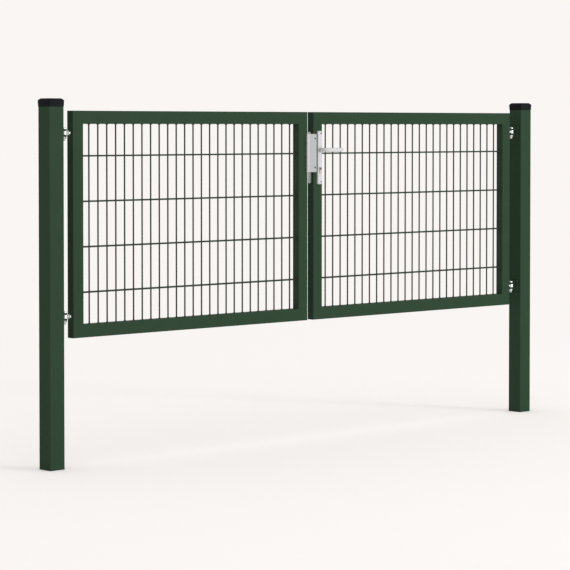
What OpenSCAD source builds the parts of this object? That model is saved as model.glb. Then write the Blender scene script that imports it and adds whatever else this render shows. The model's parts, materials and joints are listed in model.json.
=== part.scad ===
// Low double garden gate: two welded mesh leaves hung between two square
// posts, with adjustable eye bolt hinges and a lever lock where the leaves
// meet. Lengths in millimetres. X runs along the gate, +Y points away from
// the side that carries the keep's stop lip, Z is up, and the origin is at
// the foot of the left post.

/* [Posts] */

// Side of each square post
post_w = 80; // [60:1:120]
// Wall of the post tube
post_wall = 3; // [2:0.5:5]
// Outside corner radius of the post tube
post_corner = 4; // [3.5:0.5:8]
// How far the tube of a post stands above the leaves
post_over = 37; // [20:1:100]

/* [Post caps] */

// How far a cap's skirt stands out from the post
cap_lip = 3; // [2:0.5:5]
// Length of skirt over the tube
cap_skirt = 20; // [8:1:30]
// How far the skirt draws in toward its lower edge
cap_taper = 1.8; // [0:0.2:2]
// Height of a cap above the end of the tube
cap_rise = 16; // [12:1:30]
// Height of the sloping band round the top
cap_bevel_h = 8; // [3:0.5:10]
// Inset of the sloping band
cap_bevel = 11; // [4:1:14]
// Roof thickness of a cap
cap_roof = 4; // [2:0.5:6]
// Room between cap and tube
cap_fit = 0.2; // [0.1:0.1:0.5]
// Width of the shelf that a cap rests on the tube with, inside its wall
cap_shelf = 2; // [1:0.5:4]

/* [Leaves] */

// Width of one leaf
leaf_w = 1402; // [700:2:1800]
// Height of one leaf
leaf_h = 996; // [700:2:1600]
// Underside of the leaves above the foot of the posts
leaf_z = 567; // [400:1:700]
// Face width of the frame tube
tube_w = 58; // [40:1:80]
// Depth of the frame tube
tube_d = 42; // [36:1:60]
// Wall of the frame tube
tube_wall = 2; // [1.5:0.5:4]
// Outside corner radius of the frame tube
tube_corner = 3; // [2.5:0.5:6]
// Gap between the two leaves
leaf_gap = 38; // [32:1:50]

/* [Mesh] */

// Spacing of the upright wires
wire_pitch = 50; // [40:5:80]
// Smallest gap between a stile and the first upright wire
side_gap = 30; // [10:1:40]
// How far the upright wires stand off the middle, toward the meeting stile
mesh_shift = 3; // [0:1:8]
// Spacing of the pairs of cross wires
cross_pitch = 200; // [100:10:250]
// Thickness of an upright wire
upright_d = 6.5; // [4:0.5:8]
// Thickness of a cross wire
cross_d = 7; // [4:0.5:8]
// Depth of the weld where two wires cross
wire_weld = 0.6; // [0.3:0.1:1]

/* [Hinges] */

// Upper hinge below the top of the leaf
hinge_drop = 97; // [80:1:160]
// Lower hinge above the underside of the leaf
hinge_rise = 96; // [80:1:200]
// Hinge axis to the edge of the leaf
axis_reach = 32; // [32:1:40]
// Hinge axis to the plate on the post
lug_reach = 24; // [22:1:40]
// Pin diameter
pin_d = 12; // [8:1:14]
// Room round a pin in its eye
pin_room = 0.1; // [0.02:0.01:0.1]
// Outside diameter of an eye
eye_d = 25; // [22:1:30]
// Height of an eye
eye_h = 18; // [12:1:24]
// Room above and below an eye
eye_room = 0.5; // [0.3:0.1:1]
// Thickness of a lug
lug_t = 7; // [5:1:10]
// Thickness of the plate on the post
plate_t = 6; // [4:1:7]
// Width of the plate on the post
plate_w = 54; // [40:1:54]
// Height of the plate on the post
plate_h = 60; // [44:1:80]
// Pin head height
head_h = 8; // [4:1:10]
// Pin head diameter
head_d = 20; // [16:1:24]
// Nut width across its flats
nut_af = 18; // [16:1:22]
// Nut height
nut_h = 9; // [6:1:12]
// Pin tail below its nut
pin_tail = 9; // [3:1:12]
// Shank diameter of an eye bolt
shank_d = 12; // [8:1:14]
// Shank length inside the leaf's tube
shank_in = 30; // [15:1:50]

/* [Keep] */

// Height of the keep
keep_h = 182; // [120:1:220]
// Middle of the keep below the top of the leaf
keep_drop = 196; // [180:1:260]
// Wall of the keep profile
keep_wall = 5; // [3:0.5:6]
// How far the keep laps over the face of its own leaf
keep_lap = 11; // [5:1:20]
// Room between the end of the stop lip and the lock plate
lip_room = 8; // [5:1:12]
// Room between the stop lip and the other leaf
stop_room = 5; // [5:0.5:8]
// Width of the keep's bolt channel
keep_bay = 8; // [5:1:8]
// Groove down the stop lip, from the edge of the leaf
groove_x = 6; // [0:1:20]
// Groove width
groove_w = 1.5; // [1:0.5:3]
// Groove depth
groove_t = 2; // [1:0.5:2.5]

/* [Lock] */

// Middle of the lock plates below the top of the leaf
lock_drop = 218; // [180:1:260]
// Height of the lock plates
lock_h = 256; // [220:1:300]
// Width of a lock plate
lock_w = 30; // [26:1:32]
// Thickness of a lock plate
lock_t = 10; // [6:0.5:12]
// Corner radius of a lock plate
lock_corner = 7; // [4:0.5:12]
// Lock plate to the inner edge of its stile
lock_margin = 7.5; // [2:0.5:10]
// Forend height
forend_h = 248; // [200:1:280]
// Forend width
forend_w = 24; // [18:1:28]
// Middle of the forend behind the middle of the stile
forend_off = 5; // [0:1:6]
// Forend thickness
forend_t = 3; // [2:0.5:4]
// Spindle above the middle of the lock plates
spindle_up = 37; // [30:1:60]
// Key cylinder below the spindle
key_down = 90; // [72:1:110]
// Key cylinder barrel diameter
key_d = 17; // [15:0.5:18]
// Key cylinder height
key_h = 33; // [28:1:36]
// Key cylinder web width
key_web = 10; // [8:0.5:12]
// Room round the key cylinder
key_room = 0.2; // [0.1:0.1:0.5]
// How far the key cylinder stands out of a lock plate
key_proud = 3; // [1:0.5:5]

/* [Levers] */

// Length of a lever from the spindle
lever_l = 120; // [90:1:140]
// Lever bar diameter
lever_d = 19; // [14:0.5:20]
// Lever bar in front of a lock plate
lever_out = 32; // [28:1:45]
// Lever neck in a lock plate
neck_d = 18; // [14:0.5:20]
// Room round a lever neck
neck_room = 0.1; // [0.05:0.01:0.1]
// Room between a lock plate and the bar of a lever
bar_room = 1; // [0.5:0.5:3]
// Side of the square spindle
spindle_w = 8; // [7:0.5:10]

/* [Hidden] */

hinge_gap = plate_t + lug_reach + axis_reach;
leaf1_x = post_w/2 + hinge_gap;
meet1_x = leaf1_x + leaf_w;
meet2_x = meet1_x + leaf_gap;
leaf2_end = meet2_x + leaf_w;
post2_x = leaf2_end + hinge_gap + post_w/2;
axis1_x = leaf1_x - axis_reach;
axis2_x = leaf2_end + axis_reach;
leaf_top = leaf_z + leaf_h;
post_h = leaf_top + post_over;
hinge_hi = leaf_top - hinge_drop;
hinge_lo = leaf_z + hinge_rise;
lug_near = eye_h/2 + eye_room;
lug_far = lug_near + lug_t;
cross_off = (upright_d + cross_d - wire_weld)/2;
mesh_w = leaf_w - 2*tube_w;
mesh_h = leaf_h - 2*tube_w;
uprights = floor((mesh_w - 2*side_gap)/wire_pitch) + 1;
crosses = floor((leaf_h - tube_w)/cross_pitch);
upright_x0 = (leaf_w - (uprights - 1)*wire_pitch)/2 + mesh_shift;
cross_z0 = (leaf_h - (crosses - 1)*cross_pitch)/2;
lock_z = leaf_top - lock_drop;
lock_inset = tube_w - lock_margin - lock_w;
lip_end = leaf_gap + lock_inset - lip_room;
spindle_x = meet2_x + lock_inset + lock_w/2;
spindle_z = lock_z + spindle_up;
key_z = spindle_z - key_down;
plate_front = tube_d/2 + lock_t;
grip_y = plate_front + lever_out;

// ---- shared shapes ----

// a rectangle with round corners, centred
module soft_rect(w, d, r) {
    square([w - 2*r, d], center = true);
    square([w, d - 2*r], center = true);
    for (x = [-1, 1], y = [-1, 1])
        translate([x*(w/2 - r), y*(d/2 - r)]) circle(r = r, $fn = 32);
}

// the ring section of a square or oblong tube
module tube_section(w, d, wall, r) {
    difference() {
        soft_rect(w, d, r);
        soft_rect(w - 2*wall, d - 2*wall, r - wall);
    }
}

// a solid outline in X and Z, as deep in Y as needed to trim a tube
module trim(points) {
    rotate([90, 0, 0]) linear_extrude(tube_d + 20, center = true) polygon(points);
}

// hexagon prism along Z with its flats facing X
module hex(af, h) {
    cylinder(r = af/2/cos(30), h = h, $fn = 6);
}

// ---- posts and caps ----

module post(x) {
    color("DarkSlateGray") translate([x, 0, 0])
        linear_extrude(post_h) tube_section(post_w, post_w, post_wall, post_corner);
}

// side view of a cap: a skirt that draws in downward and a sloping band at the top
module cap_side() {
    half = post_w/2 + cap_lip;
    foot = half - cap_taper;
    top = half - cap_bevel;
    polygon([[-foot, -cap_skirt], [foot, -cap_skirt], [half, cap_rise - cap_bevel_h],
        [top, cap_rise], [-top, cap_rise], [-half, cap_rise - cap_bevel_h]]);
}

module cap(x) {
    outer = post_w + 2*cap_lip;
    inner = post_w - 2*post_wall - 2*cap_shelf;
    color("Black") translate([x, 0, post_h]) difference() {
        intersection() {
            translate([0, 0, -cap_skirt]) linear_extrude(cap_skirt + cap_rise)
                soft_rect(outer, outer, post_corner + cap_lip);
            rotate([90, 0, 0]) linear_extrude(outer + 2, center = true) cap_side();
            rotate([90, 0, 90]) linear_extrude(outer + 2, center = true) cap_side();
        }
        translate([0, 0, -cap_skirt - 1]) linear_extrude(cap_skirt + 1)
            soft_rect(post_w + 2*cap_fit, post_w + 2*cap_fit, post_corner + cap_fit);
        translate([0, 0, -1]) linear_extrude(1 + cap_rise - cap_roof)
            soft_rect(inner, inner, 2);
    }
}

// ---- hinges, drawn for a leaf on the +X side of its pin ----

module at_hinge(side, z) {
    translate([side > 0 ? axis1_x : axis2_x, 0, z])
        mirror([side > 0 ? 0 : 1, 0, 0]) children();
}

module lug() {
    root = 1;
    linear_extrude(lug_t) difference() {
        union() {
            circle(d = eye_d, $fn = 48);
            translate([-lug_reach - root, -eye_d/2]) square([lug_reach + root, eye_d]);
        }
        circle(d = pin_d + 2*pin_room, $fn = 48);
    }
}

module bracket(side, z) {
    color("DarkSlateGray") at_hinge(side, z) {
        translate([-lug_reach - plate_t, -plate_w/2, -plate_h/2]) cube([plate_t, plate_w, plate_h]);
        translate([0, 0, lug_near]) lug();
        translate([0, 0, -lug_far]) lug();
    }
}

module hinge_pin(side, z) {
    color("Silver") at_hinge(side, z) {
        translate([0, 0, -lug_far - nut_h - pin_tail])
            cylinder(d = pin_d, h = 2*lug_far + nut_h + pin_tail + head_h/2, $fn = 48);
        translate([0, 0, lug_far]) cylinder(d = head_d, h = head_h, $fn = 48);
        translate([0, 0, -lug_far - nut_h]) hex(nut_af, nut_h);
    }
}

module eye_bolt(side, z) {
    color("Silver") at_hinge(side, z) difference() {
        union() {
            translate([0, 0, -eye_h/2]) cylinder(d = eye_d, h = eye_h, $fn = 48);
            rotate([0, 90, 0]) cylinder(d = shank_d, h = axis_reach + shank_in, $fn = 48);
        }
        translate([0, 0, -eye_h]) cylinder(d = pin_d + 2*pin_room, h = 2*eye_h, $fn = 48);
    }
}

module eye_nut(side, z) {
    color("Silver") at_hinge(side, z)
        translate([axis_reach - nut_h, 0, 0]) rotate([0, 90, 0]) difference() {
            hex(nut_af, nut_h);
            translate([0, 0, -1]) cylinder(d = shank_d, h = nut_h + 2, $fn = 48);
        }
}

// ---- leaf frames, drawn with the hinge stile at X = 0 ----

module at_leaf(side) {
    translate([side > 0 ? leaf1_x : leaf2_end, 0, leaf_z])
        mirror([side > 0 ? 0 : 1, 0, 0]) children();
}

module stile_tube() {
    intersection() {
        translate([tube_w/2, 0, 0]) linear_extrude(leaf_h)
            tube_section(tube_w, tube_d, tube_wall, tube_corner);
        trim([[0, 0], [tube_w, tube_w], [tube_w, leaf_h - tube_w], [0, leaf_h]]);
    }
}

module rail_tube() {
    intersection() {
        translate([0, 0, tube_w/2]) rotate([90, 0, 90]) linear_extrude(leaf_w)
            tube_section(tube_d, tube_w, tube_wall, tube_corner);
        trim([[0, 0], [leaf_w, 0], [leaf_w - tube_w, tube_w], [tube_w, tube_w]]);
    }
}

module hinge_stile(side) {
    color("DarkSlateGray") at_leaf(side) difference() {
        stile_tube();
        for (z = [hinge_hi - leaf_z, hinge_lo - leaf_z])
            translate([-1, 0, z]) rotate([0, 90, 0])
                cylinder(d = shank_d, h = tube_w/2, $fn = 48);
    }
}

module meeting_stile(side) {
    color("DarkSlateGray") at_leaf(side)
        translate([leaf_w, 0, 0]) mirror([1, 0, 0]) stile_tube();
}

module bottom_rail(side) {
    color("DarkSlateGray") at_leaf(side) rail_tube();
}

module top_rail(side) {
    color("DarkSlateGray") at_leaf(side)
        translate([0, 0, leaf_h]) mirror([0, 0, 1]) rail_tube();
}

// upright wires between two layers of cross wires, fused where they cross
module mesh_panel(side) {
    color("DimGray") at_leaf(side) {
        for (i = [0 : uprights - 1])
            translate([upright_x0 + i*wire_pitch, 0, tube_w])
                cylinder(d = upright_d, h = mesh_h, $fn = 8);
        for (j = [0 : crosses - 1], y = [-1, 1])
            translate([tube_w, y*cross_off, cross_z0 + j*cross_pitch]) rotate([0, 90, 0])
                cylinder(d = cross_d, h = mesh_w, $fn = 8);
    }
}

// ---- keep on the left leaf ----

// plan of the keep, X = 0 at the edge of the left leaf
module keep_plan() {
    front = tube_d/2 + stop_room + keep_wall;
    translate([-keep_lap, -front]) square([lip_end + keep_lap, keep_wall]);
    translate([-keep_lap, -front]) square([keep_lap + keep_wall, keep_wall + stop_room]);
    translate([0, -front]) square([keep_wall, front + tube_d/2 - 4]);
    translate([keep_wall + keep_bay, -front]) square([keep_wall, front + tube_d/2 - 8]);
}

module keep() {
    color("Silver") translate([meet1_x, 0, leaf_top - keep_drop - keep_h/2])
        linear_extrude(keep_h) difference() {
            keep_plan();
            translate([groove_x, -tube_d/2 - stop_room - keep_wall - 1])
                square([groove_w, groove_t + 1]);
        }
}

// ---- lock on the right leaf ----

// outline of the key cylinder, round at the top, in X and Z
module key_outline(room) {
    circle(d = key_d + 2*room, $fn = 48);
    translate([-key_web/2 - room, -key_h + key_d/2 + key_web/2])
        square([key_web + 2*room, key_h - key_d/2 - key_web/2]);
    translate([0, -key_h + key_d/2 + key_web/2]) circle(d = key_web + 2*room, $fn = 48);
}

module through_y(x, z, y0, y1) {
    translate([x, y1, z]) rotate([90, 0, 0]) linear_extrude(y1 - y0) children();
}

module lock_stile() {
    color("DarkSlateGray") difference() {
        meeting_stile(-1);
        through_y(spindle_x, spindle_z, -tube_d, tube_d) circle(d = neck_d + 4, $fn = 48);
        through_y(spindle_x, key_z, -tube_d, tube_d) key_outline(key_room);
    }
}

module lock_plate(y0) {
    color("Silver") difference() {
        through_y(spindle_x, lock_z, y0, y0 + lock_t) soft_rect(lock_w, lock_h, lock_corner);
        through_y(spindle_x, spindle_z, y0 - 1, y0 + lock_t + 1)
            circle(d = neck_d + 2*neck_room, $fn = 48);
        through_y(spindle_x, key_z, y0 - 1, y0 + lock_t + 1) key_outline(key_room);
    }
}

module key_cylinder() {
    color("Gold")
        through_y(spindle_x, key_z, -plate_front - key_proud, plate_front + key_proud) key_outline(0);
}

module forend() {
    half = forend_h/2 - forend_w/2;
    color("Silver") translate([meet2_x, forend_off, lock_z]) rotate([0, -90, 0]) linear_extrude(forend_t) {
        square([2*half, forend_w], center = true);
        for (s = [-1, 1]) translate([s*half, 0]) circle(d = forend_w, $fn = 48);
    }
}

// ---- levers ----

// one lever, drawn on the +Y side
module lever_shape() {
    neck = lever_out + lock_t;
    translate([spindle_x, tube_d/2, spindle_z]) difference() {
        union() {
            rotate([-90, 0, 0]) cylinder(d = neck_d, h = lock_t + 2*bar_room, $fn = 48);
            translate([0, lock_t + bar_room, 0]) rotate([-90, 0, 0])
                cylinder(d = lever_d, h = lever_out - bar_room, $fn = 48);
            translate([0, neck, 0]) sphere(d = lever_d, $fn = 48);
            translate([0, neck, 0]) rotate([0, 90, 0])
                cylinder(d = lever_d, h = lever_l - lever_d/2, $fn = 48);
            translate([lever_l - lever_d/2, neck, 0]) sphere(d = lever_d, $fn = 48);
        }
        translate([-spindle_w/2, -1, -spindle_w/2]) cube([spindle_w, 1 + lock_t, spindle_w]);
    }
}

module back_lever() {
    color("Silver") lever_shape();
}

module front_lever() {
    color("Silver") mirror([0, 1, 0]) lever_shape();
}

module spindle() {
    color("Gray") translate([spindle_x - spindle_w/2, -plate_front, spindle_z - spindle_w/2])
        cube([spindle_w, 2*plate_front, spindle_w]);
}

post(0);  // left_post
post(post2_x);  // right_post
cap(0);  // left_cap
cap(post2_x);  // right_cap
bracket(1, hinge_hi);  // left_upper_bracket
bracket(1, hinge_lo);  // left_lower_bracket
bracket(-1, hinge_hi);  // right_upper_bracket
bracket(-1, hinge_lo);  // right_lower_bracket
hinge_pin(1, hinge_hi);  // left_upper_pin
hinge_pin(1, hinge_lo);  // left_lower_pin
hinge_pin(-1, hinge_hi);  // right_upper_pin
hinge_pin(-1, hinge_lo);  // right_lower_pin
eye_bolt(1, hinge_hi);  // left_upper_eye
eye_bolt(1, hinge_lo);  // left_lower_eye
eye_bolt(-1, hinge_hi);  // right_upper_eye
eye_bolt(-1, hinge_lo);  // right_lower_eye
eye_nut(1, hinge_hi);  // left_upper_nut
eye_nut(1, hinge_lo);  // left_lower_nut
eye_nut(-1, hinge_hi);  // right_upper_nut
eye_nut(-1, hinge_lo);  // right_lower_nut
hinge_stile(1);  // left_hinge_stile
meeting_stile(1);  // left_meeting_stile
top_rail(1);  // left_top_rail
bottom_rail(1);  // left_bottom_rail
mesh_panel(1);  // left_mesh
hinge_stile(-1);  // right_hinge_stile
lock_stile();  // right_meeting_stile
top_rail(-1);  // right_top_rail
bottom_rail(-1);  // right_bottom_rail
mesh_panel(-1);  // right_mesh
keep();
forend();
lock_plate(-plate_front);  // front_lock_plate
lock_plate(tube_d/2);  // back_lock_plate
key_cylinder();
spindle();
front_lever();
back_lever();
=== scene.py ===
import json
import math

import bpy
import numpy as np
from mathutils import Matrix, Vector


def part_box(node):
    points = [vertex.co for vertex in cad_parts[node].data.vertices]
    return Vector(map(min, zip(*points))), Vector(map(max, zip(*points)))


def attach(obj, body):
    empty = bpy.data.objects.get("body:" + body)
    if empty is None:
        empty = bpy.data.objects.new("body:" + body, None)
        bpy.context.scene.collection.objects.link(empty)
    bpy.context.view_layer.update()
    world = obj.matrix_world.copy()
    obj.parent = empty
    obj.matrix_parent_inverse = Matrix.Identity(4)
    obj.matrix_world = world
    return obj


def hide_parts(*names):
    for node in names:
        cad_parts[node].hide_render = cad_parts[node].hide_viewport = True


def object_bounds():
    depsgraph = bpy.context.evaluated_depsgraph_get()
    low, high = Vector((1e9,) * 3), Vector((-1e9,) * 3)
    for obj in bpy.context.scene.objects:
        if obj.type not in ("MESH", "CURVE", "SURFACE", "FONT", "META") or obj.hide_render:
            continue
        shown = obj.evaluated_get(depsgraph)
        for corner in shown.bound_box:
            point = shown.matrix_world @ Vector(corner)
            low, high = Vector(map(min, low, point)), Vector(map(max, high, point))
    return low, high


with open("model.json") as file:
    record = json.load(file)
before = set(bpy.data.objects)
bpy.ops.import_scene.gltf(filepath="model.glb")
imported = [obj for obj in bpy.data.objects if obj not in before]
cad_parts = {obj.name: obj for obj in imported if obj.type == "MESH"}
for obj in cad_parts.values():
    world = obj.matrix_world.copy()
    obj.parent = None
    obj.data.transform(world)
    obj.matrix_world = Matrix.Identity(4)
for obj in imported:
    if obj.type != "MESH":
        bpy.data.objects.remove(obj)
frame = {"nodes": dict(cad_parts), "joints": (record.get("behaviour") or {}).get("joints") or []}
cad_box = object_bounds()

MM = 0.001

# ---- sizes, in millimetres ----

# Wire mesh: the grid, the wires, and the nuggets where they cross.
WIRE_PITCH = 50
CROSS_PITCH = 200
UPRIGHT_R = 3.5
CROSS_R = 3.7
MESH_SHIFT = 3
WIRE_EDGE_ROOM = 30
NUGGET_R = 3.4
NUGGET_HALF = 1.5

# Weld seams round the mitred corners of the frame tubes.
SEAM_PROUD = 0.2
SEAM_HALF_W = 2.4
SEAM_START = 2
TUBE_CORNER = 3

# Post caps.
CAP_WALL = 2.8
CAP_SKIRT = 20
CAP_TAPER = 1.8
CAP_BEVEL_H = 8
CAP_BEVEL = 11
CAP_CORNER = 7
CAP_LEAST_CORNER = 2.5

# Hinges. CHAMFER_H and CHAMFER_R are parts of a nut's width, THREAD_DEPTH a part of the thread's radius.
PIN_R = 6
PIN_ROOM = 0.1
EYE_R = 12.5
EYE_HALF = 9
LUG_NEAR = 9.5
LUG_T = 7
LUG_REACH = 24
AXIS_REACH = 32
PLATE_T = 6
PLATE_W = 54
PLATE_H = 60
PLATE_CORNER = 5
BOLT_OUT = 19.5
BOLT_UP = 22
LUG_WELD_R = 1.9
SHANK_IN = 30
NUT_ACROSS = 18
NUT_H = 9
HEAD_R = 10
HEAD_H = 8
TAIL = 9
THREAD_PITCH = 1.75
THREAD_DEPTH = 0.1
CHAMFER_H = 0.09
CHAMFER_R = 0.47

# Keep on the left leaf, with its wear strip and screws.
KEEP_WALL = 5
KEEP_BAY = 8
STOP_ROOM = 5
STRIP_START = 8
STRIP_END = 1.2
STRIP_T = 1
STRIP_GAP = 0.5
STRIP_GAP_UP = 2.5
KEEP_SHORT = 4
KEEP_SCREW_X = 40
KEEP_SCREW_IN = 21.5
KEEP_SCREW_R = 4.2

# Lock plates, key cylinder and levers on the right leaf.
LOCK_CORNER = 7
PLATE_ROUND = 5
PLATE_SCREW_UP = 116
PLATE_SCREW_X = 6
PLATE_SCREW_R = 3.8
KEY_DOWN = 90
KEY_R = 8.5
KEY_WEB_R = 5
KEY_H = 33
PLUG_R = 6.6
KEYWAY_W = 4
KEYWAY_H = 10
LEVER_R = 9.5
LEVER_HALF_DEPTH = 8.5
LEVER_CORNER = 7
LEVER_BEND = 30
GRIP_START = 8
NECK_R = 9
COLLAR_WIDER = 1.6
COLLAR_H = 4


# ---- shapes ----

# Two directions across and the one along, right-handed, for each way a shape can point.
ALONG = {
    "+X": np.array([[0, 1, 0], [0, 0, 1], [1, 0, 0]]),
    "-X": np.array([[0, 0, 1], [0, 1, 0], [-1, 0, 0]]),
    "-Y": np.array([[1, 0, 0], [0, 0, 1], [0, -1, 0]]),
    "+Y": np.array([[0, 0, 1], [1, 0, 0], [0, 1, 0]]),
    "+Z": np.array([[1, 0, 0], [0, 1, 0], [0, 0, 1]]),
    "-Z": np.array([[0, 1, 0], [1, 0, 0], [0, 0, -1]]),
}


def skin(rings, loop=False):
    """Quads between neighbouring closed rings of an array shaped (copies, rings, around, 3). Each end of a
    stack gets one flat face, and in a loop the last ring joins the first."""
    copies, count, around = rings.shape[:3]
    index = np.arange(copies * count * around).reshape(copies, count, around)
    stack = np.concatenate([index, index[:, :1]], axis=1) if loop else index
    near, far = stack[:, :-1], stack[:, 1:]
    quads = np.stack([near, np.roll(near, -1, 2), np.roll(far, -1, 2), far], axis=-1).reshape(-1, 4)
    ends = np.empty((0, around), int) if loop else np.concatenate([index[:, 0, ::-1], index[:, -1]])
    return rings.reshape(-1, 3), quads, ends


def turned(profile, axis="+Z", centres=(0, 0, 0), around=32, loop=False):
    """A profile of (radius, height) pairs turned about an axis: centre + radius * (cos, sin) of the angle
    across + height along. Several centres give several copies."""
    radius, height = np.asarray(profile, float).T
    angle = 2 * np.pi * np.arange(around) / around
    first, second, along = ALONG[axis]
    spokes = np.cos(angle)[:, None] * first + np.sin(angle)[:, None] * second
    rings = radius[:, None, None] * spokes + height[:, None, None] * along
    return skin(rings + np.atleast_2d(centres)[:, None, None], loop)


def draw_in(outline, distance):
    """Moves both sides of every corner in by distance: the corner goes back along the sum of its two
    outward side normals over one plus their dot product. The outline runs anticlockwise."""
    side = np.roll(outline, -1, 0) - outline
    after = np.stack([side[:, 1], -side[:, 0]], 1) / np.linalg.norm(side, axis=1)[:, None]
    before = np.roll(after, 1, 0)
    return outline - distance * (before + after) / (1 + (before * after).sum(1))[:, None]


def slab(outline, axis, low, high, soften, far_soften=None):
    """A flat outline given a depth from low to high. At angle t round an edge the outline draws in by
    soften * (1 - sin t) while the height moves off the face by soften * (1 - cos t). The edge at high can
    have a softening of its own, far_soften."""
    turn = np.linspace(0, np.pi / 2, 5)
    far_soften = soften if far_soften is None else far_soften
    far_turn = turn[::-1]
    inset = np.concatenate([soften * (1 - np.sin(turn)), far_soften * (1 - np.sin(far_turn))])
    near_height = low + soften * (1 - np.cos(turn))
    height = np.concatenate([near_height, high - far_soften * (1 - np.cos(far_turn))])
    first, second, along = ALONG[axis]
    flat = np.stack([draw_in(outline, d) for d in inset])
    rings = flat[..., :1] * first + flat[..., 1:] * second + height[:, None, None] * along
    return skin(rings[None])


def swept(path, outline, up, grow=1.0, loop=False):
    """An outline carried along a path. Its second direction is up made square to the path, its first is
    that crossed with the way along, and grow scales it at each point of the path."""
    path = np.asarray(path, float)
    way = np.roll(path, -1, 0) - np.roll(path, 1, 0) if loop else np.gradient(path, axis=0)
    way /= np.linalg.norm(way, axis=1)[:, None]
    second = np.asarray(up, float) - (way @ np.asarray(up, float))[:, None] * way
    second /= np.linalg.norm(second, axis=1)[:, None]
    first = np.cross(second, way)
    flat = np.asarray(outline) * np.broadcast_to(grow, len(path))[:, None, None]
    rings = path[:, None] + flat[..., :1] * first[:, None] + flat[..., 1:] * second[:, None]
    return skin(rings[None], loop)


def threaded(radius, axis, low, high):
    """A screw thread: the radius drops by a tenth of it in a cosine of the height over the pitch less the
    angle over a full turn. Over the last half pitch at each end it goes down to the thread's root."""
    around, rings_per_turn = 24, 6
    count = int((high - low) / THREAD_PITCH * rings_per_turn) + 1
    height = np.linspace(low, high, count)[:, None]
    angle = 2 * np.pi * np.arange(around)[None] / around
    fade = np.clip(np.minimum(height - low, high - height) / (THREAD_PITCH / 2), 0, 1)
    wave = 0.5 - 0.5 * np.cos(2 * np.pi * height / THREAD_PITCH - angle)
    size = radius * (1 - THREAD_DEPTH * wave * fade - THREAD_DEPTH * (1 - fade))
    first, second, along = ALONG[axis]
    spokes = np.cos(angle)[..., None] * first + np.sin(angle)[..., None] * second
    return skin((size[..., None] * spokes + height[..., None] * along)[None])


def hexagon(across, axis, low, high):
    """A hexagon nut: at each angle the radius is half of across over the cosine of the angle to the middle
    of the nearest flat, and near both faces it is held under a 30 degree chamfer cone."""
    depth = np.array([0, 0.25, 0.5, 0.75, 1]) * CHAMFER_H * across
    height = np.concatenate([low + depth, high - depth[::-1]])[:, None]
    cone = np.concatenate([depth, depth[::-1]])[:, None] * math.sqrt(3) + CHAMFER_R * across
    angle = 2 * np.pi * np.arange(48)[None] / 48
    flat = 0.5 * across / np.cos((angle + np.pi / 6) % (np.pi / 3) - np.pi / 6)
    first, second, along = ALONG[axis]
    spokes = np.cos(angle)[..., None] * first + np.sin(angle)[..., None] * second
    size = np.minimum(flat, cone)
    return skin((size[..., None] * spokes + height[..., None] * along)[None])


def rounded_box(width, height, radius, corner=8):
    """An anticlockwise outline of a box with round corners: a quarter circle about the centre of each."""
    angle = np.linspace(0, np.pi / 2, corner)[None] + np.pi / 2 * np.arange(4)[:, None]
    middle = np.array([[1, 1], [-1, 1], [-1, -1], [1, -1]]) * (np.array([width, height]) / 2 - radius)
    return (middle[:, None] + radius * np.stack([np.cos(angle), np.sin(angle)], -1)).reshape(-1, 2)


def eased(outline, radius):
    """An outline whose corners are eased: each becomes a quadratic curve that starts and ends radius away
    from the corner along its two sides."""
    corner = np.asarray(outline, float)
    back = np.roll(corner, 1, 0) - corner
    ahead = np.roll(corner, -1, 0) - corner
    start = corner + radius * back / np.linalg.norm(back, axis=1)[:, None]
    end = corner + radius * ahead / np.linalg.norm(ahead, axis=1)[:, None]
    t = np.linspace(0, 1, 4)[None, :, None]
    curve = (1 - t) ** 2 * start[:, None] + 2 * t * (1 - t) * corner[:, None] + t ** 2 * end[:, None]
    return curve.reshape(-1, 2)


def circle(radius, around):
    """An anticlockwise circle outline."""
    angle = 2 * np.pi * np.arange(around) / around
    return radius * np.stack([np.cos(angle), np.sin(angle)], -1)


def placed(skins, centre, signs=(1, 1, 1)):
    """Skins drawn in millimetres round their own origin, moved to a centre in metres. The signs turn or
    mirror them, and a mirror image has its faces reversed."""
    order = slice(None, None, -1) if np.prod(signs) < 0 else slice(None)
    return [(points * signs * MM + centre, quads[:, order], ends[:, order])
            for points, quads, ends in skins]


def build(name, skins, finish, body, stands_for=(), sharp=35):
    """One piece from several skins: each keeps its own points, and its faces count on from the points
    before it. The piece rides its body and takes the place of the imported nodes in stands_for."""
    faces, start = [], 0
    for points, quads, ends in skins:
        faces += (quads + start).tolist() + (ends + start).tolist()
        start += len(points)
    mesh = bpy.data.meshes.new(name)
    mesh.from_pydata(np.concatenate([s[0] for s in skins]), [], faces)
    mesh.shade_smooth()
    mesh.set_sharp_from_angle(angle=math.radians(sharp))
    mesh.materials.append(finish)
    piece = bpy.data.objects.new(name, mesh)
    bpy.context.scene.collection.objects.link(piece)
    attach(piece, body)
    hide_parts(*stands_for)


# ---- finishes ----


def linear(colour):
    """sRGB hex to linear light: a channel c is c / 12.92 in the darks, and ((c + 0.055) / 1.055) ** 2.4
    above them."""
    srgb = np.array([int(colour[i:i + 2], 16) for i in (1, 3, 5)]) / 255
    light = np.where(srgb <= 0.04045, srgb / 12.92, ((srgb + 0.055) / 1.055) ** 2.4)
    return (*light.tolist(), 1.0)


def add(tree, kind, links=None, **settings):
    """Adds one node with its settings, and fills its inputs with values or with another node's output."""
    made = tree.nodes.new(kind)
    for key, value in settings.items():
        setattr(made, key, value)
    for key, value in (links or {}).items():
        if isinstance(value, bpy.types.NodeSocket):
            tree.links.new(value, made.inputs[key])
        else:
            made.inputs[key].default_value = value
    return made


def started(name):
    """An empty material with its node tree and the object's own coordinates, in metres."""
    finish = bpy.data.materials.new(name)
    finish.use_nodes = True
    tree = finish.node_tree
    tree.nodes.clear()
    return finish, tree, add(tree, "ShaderNodeTexCoord").outputs["Object"]


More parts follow.
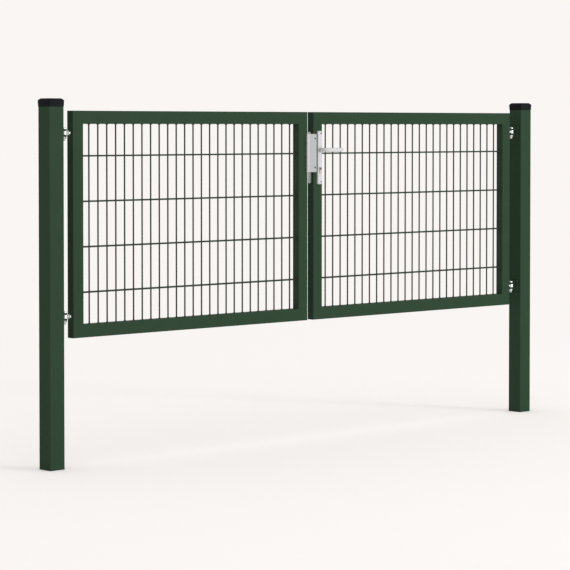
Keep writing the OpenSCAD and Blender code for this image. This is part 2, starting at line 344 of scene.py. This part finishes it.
def finished(tree, shader_links):
    """Puts a principled shader with these inputs on the material's surface."""
    shader = add(tree, "ShaderNodeBsdfPrincipled", shader_links)
    add(tree, "ShaderNodeOutputMaterial", {"Surface": shader.outputs["BSDF"]})


def powder_coat(name, dark, light, roughness, shine):
    """Matt polyester powder coat, baked on zinc-plated steel: a close even green whose tone drifts a little
    over a hand's width, with the fine orange peel of melted powder, 3 mm from crest to crest."""
    finish, tree, place = started(name)
    drift = add(tree, "ShaderNodeTexNoise", {"Vector": place, "Scale": 1 / (90 * MM), "Detail": 3.0})
    tones = {"Factor": drift.outputs["Fac"], "A": linear(dark), "B": linear(light)}
    colour = add(tree, "ShaderNodeMix", tones, data_type="RGBA")
    peel = add(tree, "ShaderNodeTexNoise", {"Vector": place, "Scale": 1 / (3 * MM), "Detail": 1.0})
    bump = add(tree, "ShaderNodeBump",
               {"Height": peel.outputs["Fac"], "Strength": 0.25, "Distance": 0.12 * MM})
    finished(tree, {"Base Color": colour.outputs["Result"], "Roughness": roughness, "IOR": 1.5,
                    "Specular IOR Level": shine, "Normal": bump.outputs["Normal"]})
    return finish


def moulded_plastic(name, colour, roughness, grain):
    """Injection-moulded plastic and blackened screws, and also the flat sheets of painted shade in the key
    slot and on the keep: a matt grain, given in millimetres from crest to crest, which breaks up the shine.
    It is drawn coarser than a real mould's grain, so that it shows."""
    finish, tree, place = started(name)
    speck = add(tree, "ShaderNodeTexNoise", {"Vector": place, "Scale": 1 / (grain * MM), "Detail": 2.0})
    bump = add(tree, "ShaderNodeBump",
               {"Height": speck.outputs["Fac"], "Strength": 0.3, "Distance": 0.1 * MM})
    finished(tree, {"Base Color": linear(colour), "Roughness": roughness, "IOR": 1.5,
                    "Specular IOR Level": 0.02, "Normal": bump.outputs["Normal"]})
    return finish


def bright_zinc(name, dull, bright, roughness):
    """Electro-galvanised steel, and plated or bare metal like it: a thin bright layer over turned and
    rolled parts, slightly cloudy in patches of 5 mm, which also vary how sharp its shine is."""
    finish, tree, place = started(name)
    cloud = add(tree, "ShaderNodeTexNoise", {"Vector": place, "Scale": 1 / (5 * MM), "Detail": 3.0})
    tones = {"Factor": cloud.outputs["Fac"], "A": linear(dull), "B": linear(bright)}
    colour = add(tree, "ShaderNodeMix", tones, data_type="RGBA")
    spread = {"Value": cloud.outputs["Fac"], "To Min": roughness - 0.06, "To Max": roughness + 0.06}
    rough = add(tree, "ShaderNodeMapRange", spread)
    finished(tree, {"Base Color": colour.outputs["Result"], "Metallic": 1.0,
                    "Roughness": rough.outputs["Result"]})
    return finish


def satin_aluminium(name, colour, roughness, stretch):
    """Satin aluminium and brushed steel: a soft silver sheen with a grain of 0.8 mm, drawn coarser than
    the real one so that it shows. A stretch of less than 1 along an axis draws the grain out into lines,
    as a die or a brush leaves them, and EVEN leaves it as it is on a casting."""
    finish, tree, place = started(name)
    lined = add(tree, "ShaderNodeMapping", {"Vector": place, "Scale": stretch})
    line = add(tree, "ShaderNodeTexNoise",
               {"Vector": lined.outputs["Vector"], "Scale": 1 / (0.8 * MM), "Detail": 2.0})
    bump = add(tree, "ShaderNodeBump",
               {"Height": line.outputs["Fac"], "Strength": 0.15, "Distance": 0.03 * MM})
    finished(tree, {"Base Color": linear(colour), "Metallic": 1.0, "Roughness": roughness,
                    "Normal": bump.outputs["Normal"]})
    return finish


ALONG_Z = (1, 1, 0.02)
EVEN = (1, 1, 1)

# Fir green polyester powder on tube, plates and welds: a dark even green with almost no shine.
fir_green = powder_coat("fir_green_powder_coat", "#2E4131", "#314534", 0.42, 0.01)

# The same powder on thin round wire: a shade darker, with a faint line of shine along each wire.
wire_green = powder_coat("fir_green_coated_wire", "#242F27", "#28342B", 0.4, 0.1)

# Black moulded plastic: a flat near-black that shows little but its edges.
cap_black = moulded_plastic("black_moulded_cap", "#1A1B1D", 0.5, 1.0)

# A plain grey strip without the metal's sheen: its grey, darker than the silver round it, is painted shade
# over most of the keep's face.
strip_painted_shade = moulded_plastic("grey_strip_of_painted_shade", "#AFB1B1", 0.5, 1.0)

# Bright zinc plate on forged and turned steel: a pale broad shine on pins, eyes and nuts.
zinc = bright_zinc("bright_zinc_plate", "#D0D1D3", "#E0E1E3", 0.46)

# Anodised aluminium profile with upright die lines: a satin silver, even along its height.
profile_silver = satin_aluminium("anodised_aluminium_profile", "#BCBDBD", 0.78, ALONG_Z)

# Steel strip, brushed along its height: a sharper sheen than the cast parts.
forend_steel = satin_aluminium("brushed_steel_forend", "#ADB0B1", 0.5, ALONG_Z)

# Cast aluminium plates, finely blasted: a soft pale silver with no streaks.
cast_silver = satin_aluminium("satin_cast_aluminium", "#CACACD", 0.8, EVEN)

# Cast aluminium levers, silk-matt: paler than the plates, and with the softest sheen.
lever_silver = satin_aluminium("silk_matt_cast_aluminium", "#D8D8DA", 0.9, EVEN)

# Nickel-plated brass, drawn to its profile: a dull warm grey on the key barrel.
nickel = bright_zinc("nickel_plated_brass", "#ABA9A4", "#B3B1AC", 0.7)

# Plain drawn steel: a dark grey metal on the key plug and the spindle. On the plug's face, inside the paler
# barrel, the dark grey is also painted shade for the dark of the keyhole.
steel_and_plug_shade = bright_zinc("drawn_steel_and_painted_plug_shade", "#6C6D6F", "#7E7F81", 0.7)

# Blackened steel: near black, with a fine grain and little shine, on the screws. The same near black on the
# flat slab in the key's face is painted shade for the dark inside the key slot.
black_screws_and_slot_shade = moulded_plastic("blackened_screws_and_painted_slot_shade", "#2C2C2E", 0.45, 0.6)


# ---- where things are ----


def corners(node):
    """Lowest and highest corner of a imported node, in metres."""
    low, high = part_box(node)
    return np.array(low), np.array(high)


def middle(node):
    """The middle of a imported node's box, in metres."""
    return sum(corners(node)) / 2


# ---- wire mesh ----


def wire_mesh(side):
    """Upright wires between two layers of cross wires, a flattened weld nugget in each crossing, and a
    small weld where every wire meets the frame."""
    low, high = corners(side + "_mesh")
    centre = (low + high) / 2
    half_w, half_h = (high - low)[[0, 2]] / 2 / MM
    off = high[1] / MM - CROSS_R
    count = int((half_w - WIRE_EDGE_ROOM) / WIRE_PITCH)
    toward = 1 if side == "left" else -1
    across = WIRE_PITCH * np.arange(-count, count + 1) + toward * MESH_SHIFT
    layers = int(half_h * 2 / CROSS_PITCH)
    up = CROSS_PITCH * (np.arange(layers) - (layers - 1) / 2)
    upright = np.stack([across, 0 * across, 0 * across], 1)
    cross = np.array([(0, s * off, z) for z in up for s in (-1, 1)])
    crossing = np.array([(x, s * UPRIGHT_R, z) for x in across for z in up for s in (-1, 1)])
    step = np.array([-0.92, -0.6, 0, 0.6, 0.92])
    nugget = np.stack([NUGGET_R * np.sqrt(1 - step ** 2), NUGGET_HALF * step], 1)
    weld = np.array([(2.3, 0), (2.1, 0.8), (1.5, 2), (1.05, 3.6), (1.0, 4.4)])
    skins = [
        turned([(UPRIGHT_R, -half_h), (UPRIGHT_R, half_h)], "+Z", upright, around=12),
        turned([(CROSS_R, -half_w), (CROSS_R, half_w)], "+X", cross, around=12),
        turned(nugget, "+Y", crossing, around=8),
        turned(weld * (UPRIGHT_R, 1) + (0, -half_h), "+Z", upright, around=10),
        turned(weld * (UPRIGHT_R, 1) + (0, -half_h), "-Z", upright, around=10),
        turned(weld * (CROSS_R, 1) + (0, -half_w), "+X", cross, around=10),
        turned(weld * (CROSS_R, 1) + (0, -half_w), "-X", cross, around=10),
    ]
    build(side + "_wires", placed(skins, centre), wire_green, side + "_leaf",
          [side + "_mesh"], sharp=60)


def mitre_seam(corner, turn):
    """The ground weld round one mitred corner of a frame: a low bead carried round the slanting cut through
    the tubes, whose outline is a box with round corners."""
    bead = circle(1, 12) * (SEAM_PROUD, SEAM_HALF_W)
    tube, depth = (np.subtract(*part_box("left_hinge_stile")[::-1]) / MM)[:2]
    loop = rounded_box(tube - SEAM_START, depth, TUBE_CORNER, corner=5) + (tube / 2 + SEAM_START / 2, 0)
    path = np.stack([turn[0] * loop[:, 0], loop[:, 1], turn[1] * loop[:, 0]], 1)
    if turn[0] * turn[1] > 0:
        path = path[::-1]
    return placed([swept(path, bead, (-turn[0], 0, turn[1]), loop=True)], corner)


def leaf_welds(side):
    """The four mitre seams of one leaf."""
    low, high = corners(side + "_bottom_rail")[0], corners(side + "_top_rail")[1]
    skins = []
    for x, sx in ((low[0], 1), (high[0], -1)):
        for z, sz in ((low[2], 1), (high[2], -1)):
            skins += mitre_seam(np.array([x, 0, z]), (sx, sz))
    build(side + "_mitre_welds", skins, fir_green, side + "_leaf")


# ---- post caps ----


def post_cap(side):
    """A moulded cap as a stack of square rings with round corners: down the inside of the skirt, round its
    rim, up the outside, over the sloping band and in to the flat top."""
    low, high = corners(side + "_cap")
    half = (high[0] - low[0]) / 2 / MM
    rise = (high[2] - low[2]) / MM - CAP_SKIRT
    shoulder = rise - CAP_BEVEL_H
    foot = half - CAP_TAPER
    crown = half - CAP_BEVEL
    inside = [(half - CAP_WALL, 0), (half - CAP_WALL, -CAP_SKIRT + 0.2)]
    rim = [(half - CAP_WALL + 0.2, -CAP_SKIRT), (foot - 0.4, -CAP_SKIRT), (foot, -CAP_SKIRT + 0.4)]
    outside = [(half, shoulder - 1.6), (half - 0.3, shoulder - 0.5), (half - 1.0, shoulder + 0.5)]
    top = [(crown + 2.0, rise - 1.2), (crown + 0.9, rise - 0.35), (crown - 0.6, rise), (crown - 6, rise)]
    rings = []
    for reach, height in inside + rim + outside + top:
        square = rounded_box(2 * reach, 2 * reach, max(CAP_LEAST_CORNER, reach - half + CAP_CORNER), 6)
        rings.append(np.column_stack([square, np.full(len(square), height)]))
    centre = np.array([*((low + high) / 2)[:2], high[2] - rise * MM])
    shell = skin(np.stack(rings)[None])
    build(side + "_post_cap", placed([shell], centre), cap_black, "posts",
          [side + "_cap"], sharp=30)


# ---- hinges, drawn round the pin with the leaf on the +X side ----


def bracket():
    """A plate bolted to the post with two welded lugs, each a half round on a block, and four domed bolt
    heads."""
    outline = rounded_box(PLATE_W, PLATE_H, PLATE_CORNER)
    plate = slab(outline, "+X", -LUG_REACH - PLATE_T, -LUG_REACH, 0.4, 1.4)
    arc = np.linspace(-np.pi / 2, np.pi / 2, 20)
    nose = np.stack([EYE_R * np.cos(arc), EYE_R * np.sin(arc)], 1)
    lug = np.concatenate([nose, [(-LUG_REACH - 1, EYE_R), (-LUG_REACH - 1, -EYE_R)]])
    dome = [(8, 0), (7.9, 0.6), (7.2, 1.7), (5.6, 2.8), (3.2, 3.5), (1.0, 3.8)]
    seam = rounded_box(2 * EYE_R, LUG_T, 1.5, 5)
    skins = [plate]
    for base in (LUG_NEAR, -LUG_NEAR - LUG_T):
        path = np.column_stack([np.full(len(seam), -LUG_REACH), seam + (0, base + LUG_T / 2)])
        skins.append(slab(lug, "+Z", base, base + LUG_T, 0.9))
        skins.append(swept(path, circle(LUG_WELD_R, 8), (1, 0, 0), loop=True))
    bolts = [(-LUG_REACH, y, z) for y in (-BOLT_OUT, BOLT_OUT) for z in (-BOLT_UP, BOLT_UP)]
    return skins + [turned(dome, "+X", bolts, around=20)]


def pin():
    """A headed pin through both lugs and the eye, with a nut and a short threaded tail below."""
    far = LUG_NEAR + LUG_T
    top = far + HEAD_H
    head = [(HEAD_R - 0.8, far), (HEAD_R, far + 0.6), (HEAD_R, top - 2.6), (HEAD_R - 0.5, top - 1.4),
            (HEAD_R - 2.2, top - 0.4), (HEAD_R - 5, top)]
    return [turned([(PIN_R, -far - 1), (PIN_R, far + 1)]), turned(head),
            hexagon(NUT_ACROSS, "+Z", -far - NUT_H, -far),
            threaded(PIN_R, "+Z", -far - NUT_H - TAIL, -far - NUT_H + 1)]


def eye():
    """A forged eye: a box with round corners turned about the pin, and a cove where its shank leaves it."""
    bore = PIN_R + PIN_ROOM
    ring = rounded_box(EYE_R - bore, 2 * EYE_HALF, 2.4, 5) + ((EYE_R + bore) / 2, 0)
    neck = [(8.2, EYE_R - 2.5), (7.0, EYE_R - 0.6), (6.3, EYE_R + 0.8), (PIN_R, EYE_R + 2.2),
            (PIN_R, EYE_R + 3)]
    return [turned(ring, "+Z", around=40, loop=True), turned(neck, "+X")]


def hinge(side, level):
    """One hinge: bracket and pin on the post, eye bolt and lock nut on the leaf."""
    joint = next(j for j in frame["joints"] if j["name"] == side + "_leaf_swing")
    name = side + "_" + level
    centre = np.array([*joint["pos_m"][:2], middle(name + "_bracket")[2]])
    signs = (1, 1, 1) if side == "left" else (-1, -1, 1)
    shank = threaded(PIN_R, "+X", EYE_R + 2.5, AXIS_REACH + SHANK_IN)
    nut = hexagon(NUT_ACROSS, "+X", AXIS_REACH - NUT_H, AXIS_REACH)
    leaf = side + "_leaf"
    build(name + "_hinge_bracket", placed(bracket(), centre, signs), fir_green, "posts",
          [name + "_bracket"])
    build(name + "_hinge_pin", placed(pin(), centre, signs), zinc, "posts", [name + "_pin"])
    build(name + "_forged_eye", placed(eye(), centre, signs), zinc, leaf, [name + "_eye"])
    build(name + "_shank", placed([shank], centre, signs), zinc, leaf)
    build(name + "_lock_nut", placed([nut], centre, signs), zinc, leaf, [name + "_nut"])


# ---- keep ----


def socket_screws(spots, radius):
    """Button head screws with round sockets, heads toward -Y: a profile from the rim over the dome and down
    into the socket, in parts of the radius, turned about each screw's axis."""
    dome = np.array([(1, -0.2), (1, 0.02), (0.93, 0.14), (0.78, 0.24), (0.5, 0.3), (0.44, 0.28),
                     (0.42, 0.05), (0.1, 0)])
    return [turned(dome * radius, "-Y", spots, around=20)]


def stop_keep():
    """An extruded profile on the edge of the left leaf: a plan with eased corners given a height. Its lip
    laps over the right leaf. A grey strip is let into its face, and two dark screws hold it; the strip's
    grey, darker than the metal, is painted shade."""
    low, high = corners("keep")
    edge = corners("left_meeting_stile")[1][0]
    left, end = (low[0] - edge) / MM, (high[0] - edge) / MM
    front, back = low[1] / MM, high[1] / MM
    half = (high[2] - low[2]) / 2 / MM
    wall, rib = KEEP_WALL, KEEP_WALL + KEEP_BAY
    step, bed = end - STRIP_END, front + STRIP_T
    reach = back - KEEP_SHORT
    plan = eased([(left, front), (STRIP_START, front), (STRIP_START, bed), (step, bed), (step, front),
                  (end, front), (end, front + wall), (rib + wall, front + wall), (rib + wall, reach),
                  (rib, reach), (rib, front + wall), (wall, front + wall), (wall, back), (0, back),
                  (0, front + wall + STOP_ROOM), (left, front + wall + STOP_ROOM)], 0.4)
    centre = np.array([edge, 0, (low[2] + high[2]) / 2])
    build("stop_keep", placed([slab(plan, "+Z", -half, half, 0.4)], centre), profile_silver, "left_leaf",
          ["keep"])
    # The strip is painted shade: a plain grey, darker than the silver, over most of the keep's face.
    wide, tall = step - STRIP_START - 2 * STRIP_GAP, 2 * half - 2 * STRIP_GAP_UP
    face = rounded_box(wide, tall, 0.6, 4) + ((step + STRIP_START) / 2, 0)
    strip = slab(face, "-Y", -bed, -front, 0.1, 0.4)
    build("keep_strip_of_painted_shade", placed([strip], centre), strip_painted_shade, "left_leaf")
    spots = [(KEEP_SCREW_X, front, s * (half - KEEP_SCREW_IN)) for s in (-1, 1)]
    build("keep_screws", placed(socket_screws(spots, KEEP_SCREW_R), centre), black_screws_and_slot_shade, "left_leaf")


# ---- lock ----


def key_outline():
    """Outline of a profile key cylinder in X and Z: a large arc over a narrow web that ends in a small half
    round."""
    meet = math.asin(KEY_WEB_R / KEY_R)
    top = np.linspace(-np.pi / 2 + meet, 3 * np.pi / 2 - meet, 32)
    bottom = np.linspace(np.pi, 2 * np.pi, 12)
    foot = -KEY_H + KEY_R + KEY_WEB_R
    return np.concatenate([KEY_R * np.stack([np.cos(top), np.sin(top)], 1),
                           KEY_WEB_R * np.stack([np.cos(bottom), np.sin(bottom)], 1) + (0, foot)])


def lock():
    """Lock plates with their screws and the key cylinder on the right leaf."""
    low, high = corners("front_lock_plate")
    width, height = (high - low)[[0, 2]] / MM
    face = -low[1] / MM
    centre = (low + high) / 2 * (1, 0, 1)
    key = middle("spindle") * (1, 0, 1) - (0, 0, KEY_DOWN * MM)
    plate = slab(rounded_box(width, height, LOCK_CORNER), "-Y", -high[1] / MM, face, 0.3, PLATE_ROUND)
    spots = [(PLATE_SCREW_X, -face, s * PLATE_SCREW_UP) for s in (-1, 1)]
    screws = socket_screws(spots, PLATE_SCREW_R)
    reach = corners("key_cylinder")[1][1] / MM
    # The plug is dark steel inside a paler barrel: its dark face is painted shade for the dark of the
    # keyhole.
    plug = turned([(PLUG_R, reach - 1), (PLUG_R, reach + 0.2), (PLUG_R - 0.4, reach + 0.5),
                   (1, reach + 0.5)], "-Y")
    # The key slot is a flat near-black slab laid on the plug's face, not a hole: painted shade for the dark
    # inside the slot.
    keyway_shade = slab(rounded_box(KEYWAY_W, KEYWAY_H, 1.2, 4), "-Y", reach, reach + 0.7, 0.1)
    barrel = slab(key_outline(), "-Y", -reach, reach, 0.6)
    for name, signs in (("front", (1, 1, 1)), ("back", (1, -1, 1))):
        build(name + "_lock_cover", placed([plate], centre, signs), cast_silver, "right_leaf",
              [name + "_lock_plate"])
        build(name + "_lock_screws", placed(screws, centre, signs), black_screws_and_slot_shade, "right_leaf")
        build(name + "_key_plug", placed([plug], key, signs), steel_and_plug_shade, "right_leaf")
        # The near-black slot slab is painted shade.
        build(name + "_keyway", placed([keyway_shade], key, signs), black_screws_and_slot_shade, "right_leaf")
    build("key_barrel", placed([barrel], key), nickel, "right_leaf", ["key_cylinder"])


def forend():
    """The lock's face strip on the edge of the right leaf, with fully round ends."""
    low, high = corners("forend")
    width, height = (high - low)[[1, 2]] / MM
    outline = rounded_box(height, width, width / 2 - 0.01, 10)
    strip = slab(outline, "-X", 0, (high[0] - low[0]) / MM, 0.1, 0.6)
    centre = (low + high) / 2 * (0, 1, 1) + high * (1, 0, 0)
    build("lock_forend", placed([strip], centre), forend_steel, "right_leaf", ["forend"])


def lever():
    """A bent bar handle, drawn on the -Y side: straight out of the plate, round a quarter bend and along to
    a rounded tip. Its section is a box with round corners, which shrinks to the tip and rises to its upper
    side there."""
    low, high = corners("front_lever")
    out = -low[1] / MM - LEVER_HALF_DEPTH
    root, face = -high[1] / MM, -corners("front_lock_plate")[0][1] / MM
    length = (high[0] - middle("spindle")[0]) / MM
    quarter = np.linspace(0, np.pi / 2, 12)
    bend = np.stack([LEVER_BEND * (1 - np.cos(quarter)),
                     -(out - LEVER_BEND) - LEVER_BEND * np.sin(quarter)], 1)
    turn = np.linspace(0, np.pi / 2, 8)[1:]
    grip = np.linspace(LEVER_BEND + GRIP_START, length - LEVER_R, 8)
    tip = length - LEVER_R + LEVER_R * np.sin(turn)
    along = np.concatenate([grip, tip])
    straight = np.stack([along, np.full(len(along), -out)], 1)
    flat = np.concatenate([[(0, -root), (0, -face - COLLAR_H)], bend, straight])
    grow = np.concatenate([np.ones(len(flat) - len(tip)), np.maximum(0.3, np.cos(turn) ** 0.6)])
    path = np.column_stack([flat, 0.6 * LEVER_R * (1 - grow)])
    section = rounded_box(2 * LEVER_HALF_DEPTH, 2 * LEVER_R, LEVER_CORNER)
    rim = NECK_R + COLLAR_WIDER
    collar = [(NECK_R, root), (NECK_R, face + 0.6), (rim, face + 0.6), (rim, face + COLLAR_H - 1),
              (NECK_R, face + COLLAR_H)]
    return [swept(path, section, (0, 0, 1), grow), turned(collar, "-Y")]


def levers():
    """A lever on each face of the right leaf."""
    centre = middle("spindle") * (1, 0, 1)
    for name, signs in (("front", (1, 1, 1)), ("back", (1, -1, 1))):
        build(name + "_handle", placed(lever(), centre, signs), lever_silver, "levers",
              [name + "_lever"])


# ---- the gate ----

for node_name, node in frame["nodes"].items():
    node.data.materials.clear()
    node.data.materials.append(steel_and_plug_shade if node_name == "spindle" else fir_green)

for side in ("left", "right"):
    wire_mesh(side)
    leaf_welds(side)
    post_cap(side)
    for level in ("upper", "lower"):
        hinge(side, level)
stop_keep()
lock()
forend()
levers()


# ---- floor, light and camera ----

PALE = "#FAF6F3"
FLOOR_LIFT = 0.21
FADE_FROM = 2.5
FADE_TO = 9.0
AMBIENT = 0.74
LAMP_AWAY = (8.3, -14.9, 1.6)
LAMP_SIZE = 3.6
LAMP_LEVEL = 0.505
CAMERA_PLACE = (-5.9816, -8.0306, 1.4935)
CAMERA_DOWN = 1.82
CAMERA_RIGHT = 42.499
CAMERA_LENS = 144.97
CAMERA_SHIFT = -0.15

gate_centre = sum(np.array(v) for v in cad_box) / 2


def straight_or_mirrored(tree):
    """1 for what the eye sees straight, in a shine or through glass, and 0 for light that falls on things.
    It is the largest of three tests of the ray."""
    path = add(tree, "ShaderNodeLightPath").outputs
    seen = add(tree, "ShaderNodeMath", {0: path["Is Camera Ray"], 1: path["Is Glossy Ray"]},
               operation="MAXIMUM")
    return add(tree, "ShaderNodeMath", {0: seen.outputs[0], 1: path["Is Transmission Ray"]},
               operation="MAXIMUM").outputs[0]


def floor():
    """A pale disc: rings whose radius doubles outwards. Near the gate it is matt and takes its shadow, and
    it fades into the pale surroundings further out."""
    radius = 0.5 * 2.0 ** np.arange(0, 7)
    angle = 2 * np.pi * np.arange(64) / 64
    ring = np.stack([np.cos(angle), np.sin(angle), 0 * angle], 1)
    rings = radius[::-1, None, None] * ring
    points, quads, ends = skin(rings[None])
    mesh = bpy.data.meshes.new("floor")
    mesh.from_pydata(points + gate_centre * (1, 1, 0), [], quads.tolist() + [ends[1].tolist()])
    finish, tree, place = started("pale_matt_floor")
    centred = add(tree, "ShaderNodeMapping",
                  {"Vector": place, "Location": (-gate_centre[0], -gate_centre[1], 0)})
    far = add(tree, "ShaderNodeVectorMath", {0: centred.outputs["Vector"]}, operation="LENGTH")
    reach = {"Value": far.outputs["Value"], "From Min": FADE_FROM, "From Max": FADE_TO}
    fade = add(tree, "ShaderNodeMapRange", reach, interpolation_type="SMOOTHSTEP")
    matt = add(tree, "ShaderNodeBsdfDiffuse", {"Color": linear(PALE)})
    glow = add(tree, "ShaderNodeEmission", {"Color": linear(PALE), "Strength": 1.0})
    lift = add(tree, "ShaderNodeEmission", {"Color": linear(PALE), "Strength": FLOOR_LIFT})
    lifted = add(tree, "ShaderNodeAddShader", {0: matt.outputs["BSDF"], 1: lift.outputs["Emission"]})
    near = add(tree, "ShaderNodeMixShader", {0: straight_or_mirrored(tree), 1: matt.outputs["BSDF"],
                                             2: lifted.outputs["Shader"]})
    both = add(tree, "ShaderNodeMixShader", {0: fade.outputs["Result"], 1: near.outputs["Shader"],
                                             2: glow.outputs["Emission"]})
    add(tree, "ShaderNodeOutputMaterial", {"Surface": both.outputs["Shader"]})
    mesh.materials.append(finish)
    disc = bpy.data.objects.new("floor", mesh)
    bpy.context.scene.collection.objects.link(disc)


def surroundings(ambient):
    """Pale surroundings to the eye and in the metal's shine, and a plain dimmer light on everything."""
    world = bpy.data.worlds.new("pale_surroundings")
    world.use_nodes = True
    tree = world.node_tree
    tree.nodes.clear()
    soft = add(tree, "ShaderNodeBackground", {"Color": linear("#FFFFFF"), "Strength": ambient})
    shown = add(tree, "ShaderNodeBackground", {"Color": linear(PALE), "Strength": 1.0})
    both = add(tree, "ShaderNodeMixShader", {0: straight_or_mirrored(tree), 1: soft.outputs["Background"],
                                             2: shown.outputs["Background"]})
    add(tree, "ShaderNodeOutputWorld", {"Surface": both.outputs["Shader"]})
    bpy.context.scene.world = world


def lamp(name, place, size, level, target):
    """A square area light that gives about that level on a surface facing it: its power is the level times
    pi squared times the distance squared."""
    light = bpy.data.lights.new(name, "AREA")
    light.shape = "SQUARE"
    light.size = size
    aim = target - place
    light.energy = level * math.pi ** 2 * float(aim @ aim)
    holder = bpy.data.objects.new(name, light)
    yaw = math.atan2(aim[0], aim[1])
    tilt = math.atan2(math.hypot(aim[0], aim[1]), -aim[2])
    holder.location = place
    holder.rotation_euler = (tilt, 0, -yaw)
    holder.visible_camera = False
    bpy.context.scene.collection.objects.link(holder)


def camera():
    """A long lens 1.5 m up and 10 m off the left post, looking aslant at the gate and a little down."""
    lens = bpy.data.cameras.new("camera")
    lens.sensor_width = 36
    lens.lens = CAMERA_LENS
    lens.shift_y = CAMERA_SHIFT
    holder = bpy.data.objects.new("camera", lens)
    holder.location = CAMERA_PLACE
    holder.rotation_euler = (math.radians(90 - CAMERA_DOWN), 0, math.radians(-CAMERA_RIGHT))
    bpy.context.scene.collection.objects.link(holder)
    bpy.context.scene.camera = holder


floor()
surroundings(AMBIENT)
lamp("key", gate_centre + LAMP_AWAY, LAMP_SIZE, LAMP_LEVEL, gate_centre)
camera()
bpy.context.scene.view_settings.view_transform = "Standard"
